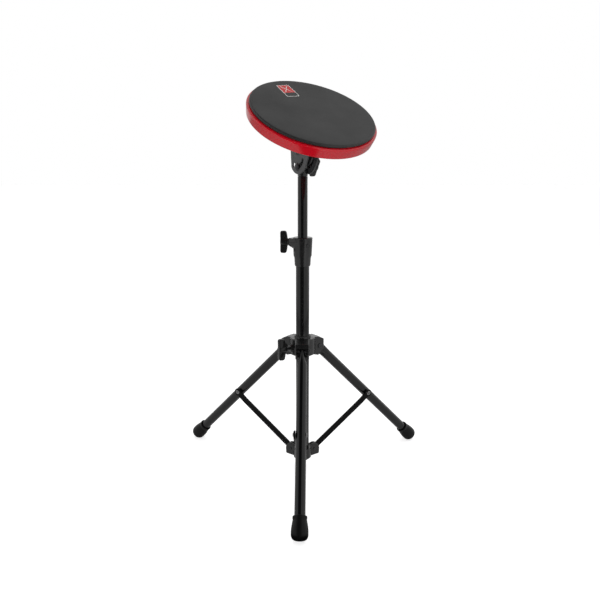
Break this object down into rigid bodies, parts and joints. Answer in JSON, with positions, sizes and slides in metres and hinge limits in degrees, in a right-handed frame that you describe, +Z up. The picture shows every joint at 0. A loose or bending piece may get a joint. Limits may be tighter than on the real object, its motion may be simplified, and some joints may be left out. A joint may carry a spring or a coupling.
{
  "type": "drum practice pad on folding tripod stand",
  "caption": "Round drum practice pad with a black rubber face on a glossy red shell, tilted on a black height-adjustable folding tripod stand with wing screws.",
  "frame": {"origin": "on the floor, at the middle of the bounding box seen from above", "axes": "+Z up along the column; -Y is the way the front leg points; the two other legs stand at 120 degrees to it on the +Y side"},
  "size_m": [0.4254, 0.3718, 0.6447],
  "materials": {
    "tube": "gloss black enamel",
    "strap": "satin black enamel",
    "moulded": "satin moulded",
    "foot_rubber": "matt",
    "nylon": "satin",
    "fixings": "black zinc",
    "bracket_enamel": "satin grey enamel",
    "red_shell": "gloss red",
    "playing_rubber": "matt",
    "foam": "matt open-cell"
  },
  "bodies": {
    "column": {"main_tube": "tube", "height_collar": "moulded", "collar_rivet": "moulded", "lower_spider": "moulded", "spider_screw": "fixings", "tube_end_plug": "moulded", "brace_pin_front": "fixings", "brace_pin_right": "fixings", "brace_pin_left": "fixings", "collar_shoe": "nylon"},
    "hub": {"leg_hub": "moulded", "hub_bush": "nylon", "leg_pin_front": "fixings", "leg_pin_right": "fixings", "leg_pin_left": "fixings", "hub_shoe": "nylon"},
    "mast_guide": {"mast_guide": "nylon"},
    "mast": {"upper_tube": "tube", "mast_head": "moulded", "tilt_pivot_pin": "fixings", "clamp_bolt": "fixings", "tilt_washer": "fixings"},
    "pad": {"pad_base": "red_shell", "foam_layer": "foam", "playing_surface": "playing_rubber", "tilt_bracket": "bracket_enamel", "bracket_screw_1": "fixings", "bracket_screw_2": "fixings", "bracket_screw_3": "fixings", "bracket_screw_4": "fixings"},
    "tilt_screw": {"tilt_knob": "moulded", "tilt_nut": "fixings"},
    "collar_screw": {"collar_knob": "moulded", "collar_stud": "fixings"},
    "hub_screw": {"hub_knob": "moulded", "hub_stud": "fixings"},
    "leg_front": {"leg_front": "tube", "foot_front": "foot_rubber", "brace_rivet_front": "fixings"},
    "brace_front": {"brace_front": "strap", "brace_eyelet_front": "fixings"},
    "leg_right": {"leg_right": "tube", "foot_right": "foot_rubber", "brace_rivet_right": "fixings"},
    "brace_right": {"brace_right": "strap", "brace_eyelet_right": "fixings"},
    "leg_left": {"leg_left": "tube", "foot_left": "foot_rubber", "brace_rivet_left": "fixings"},
    "brace_left": {"brace_left": "strap", "brace_eyelet_left": "fixings"}
  },
  "joints": [
    {"name": "hub_slide", "type": "slide", "parent": "column", "child": "hub", "axis": [0, 0, 1], "range_m": [0, 0.08915]},
    {"name": "leg_fold_front", "type": "hinge", "parent": "hub", "child": "leg_front", "pos_m": [0, 0.03068, 0.21566], "axis": [1, 0, 0], "range_deg": [0, 36.6]},
    {"name": "leg_fold_right", "type": "hinge", "parent": "hub", "child": "leg_right", "pos_m": [0.02338, 0.07118, 0.21566], "axis": [-0.5, 0.866, 0], "range_deg": [0, 36.6]},
    {"name": "leg_fold_left", "type": "hinge", "parent": "hub", "child": "leg_left", "pos_m": [-0.02338, 0.07118, 0.21566], "axis": [-0.5, -0.866, 0], "range_deg": [0, 36.6]},
    {"name": "strap_fold_front", "type": "hinge", "parent": "column", "child": "brace_front", "pos_m": [0, 0.03568, 0.02774], "axis": [1, 0, 0], "range_deg": [-40.19, 0]},
    {"name": "strap_fold_right", "type": "hinge", "parent": "column", "child": "brace_right", "pos_m": [0.01905, 0.06868, 0.02774], "axis": [-0.5, 0.866, 0], "range_deg": [-40.19, 0]},
    {"name": "strap_fold_left", "type": "hinge", "parent": "column", "child": "brace_left", "pos_m": [-0.01905, 0.06868, 0.02774], "axis": [-0.5, -0.866, 0], "range_deg": [-40.19, 0]},
    {"name": "mast_height", "type": "slide", "parent": "column", "child": "mast_guide", "axis": [0, 0, 1], "range_m": [-0.09, 0.15]},
    {"name": "mast_turn", "type": "hinge", "parent": "mast_guide", "child": "mast", "pos_m": [0, 0.05768, 0.53364], "axis": [0, 0, 1], "continuous": true},
    {"name": "pad_tilt", "type": "hinge", "parent": "mast", "child": "pad", "pos_m": [0, 0.05768, 0.53364], "axis": [0.8949, 0.4462, 0], "range_deg": [-32.4, 57.6]},
    {"name": "collar_screw_turn", "type": "hinge", "parent": "column", "child": "collar_screw", "pos_m": [0, 0.05768, 0.39174], "axis": [-1, 0, 0], "range_deg": [0, 720]},
    {"name": "hub_screw_turn", "type": "hinge", "parent": "hub", "child": "hub_screw", "pos_m": [0, 0.05768, 0.21566], "axis": [-0.866, -0.5, 0], "range_deg": [0, 720]},
    {"name": "tilt_screw_turn", "type": "hinge", "parent": "mast", "child": "tilt_screw", "pos_m": [0, 0.05768, 0.51044], "axis": [0.8949, 0.4462, 0], "range_deg": [0, 720]}
  ],
  "couplings": [
    {"joint": "leg_fold_front", "follows": "hub_slide", "rad_per_m": 7.1452},
    {"joint": "leg_fold_right", "follows": "hub_slide", "rad_per_m": 7.1452},
    {"joint": "leg_fold_left", "follows": "hub_slide", "rad_per_m": 7.1452},
    {"joint": "strap_fold_front", "follows": "hub_slide", "rad_per_m": -7.8474},
    {"joint": "strap_fold_right", "follows": "hub_slide", "rad_per_m": -7.8474},
    {"joint": "strap_fold_left", "follows": "hub_slide", "rad_per_m": -7.8474}
  ]
}
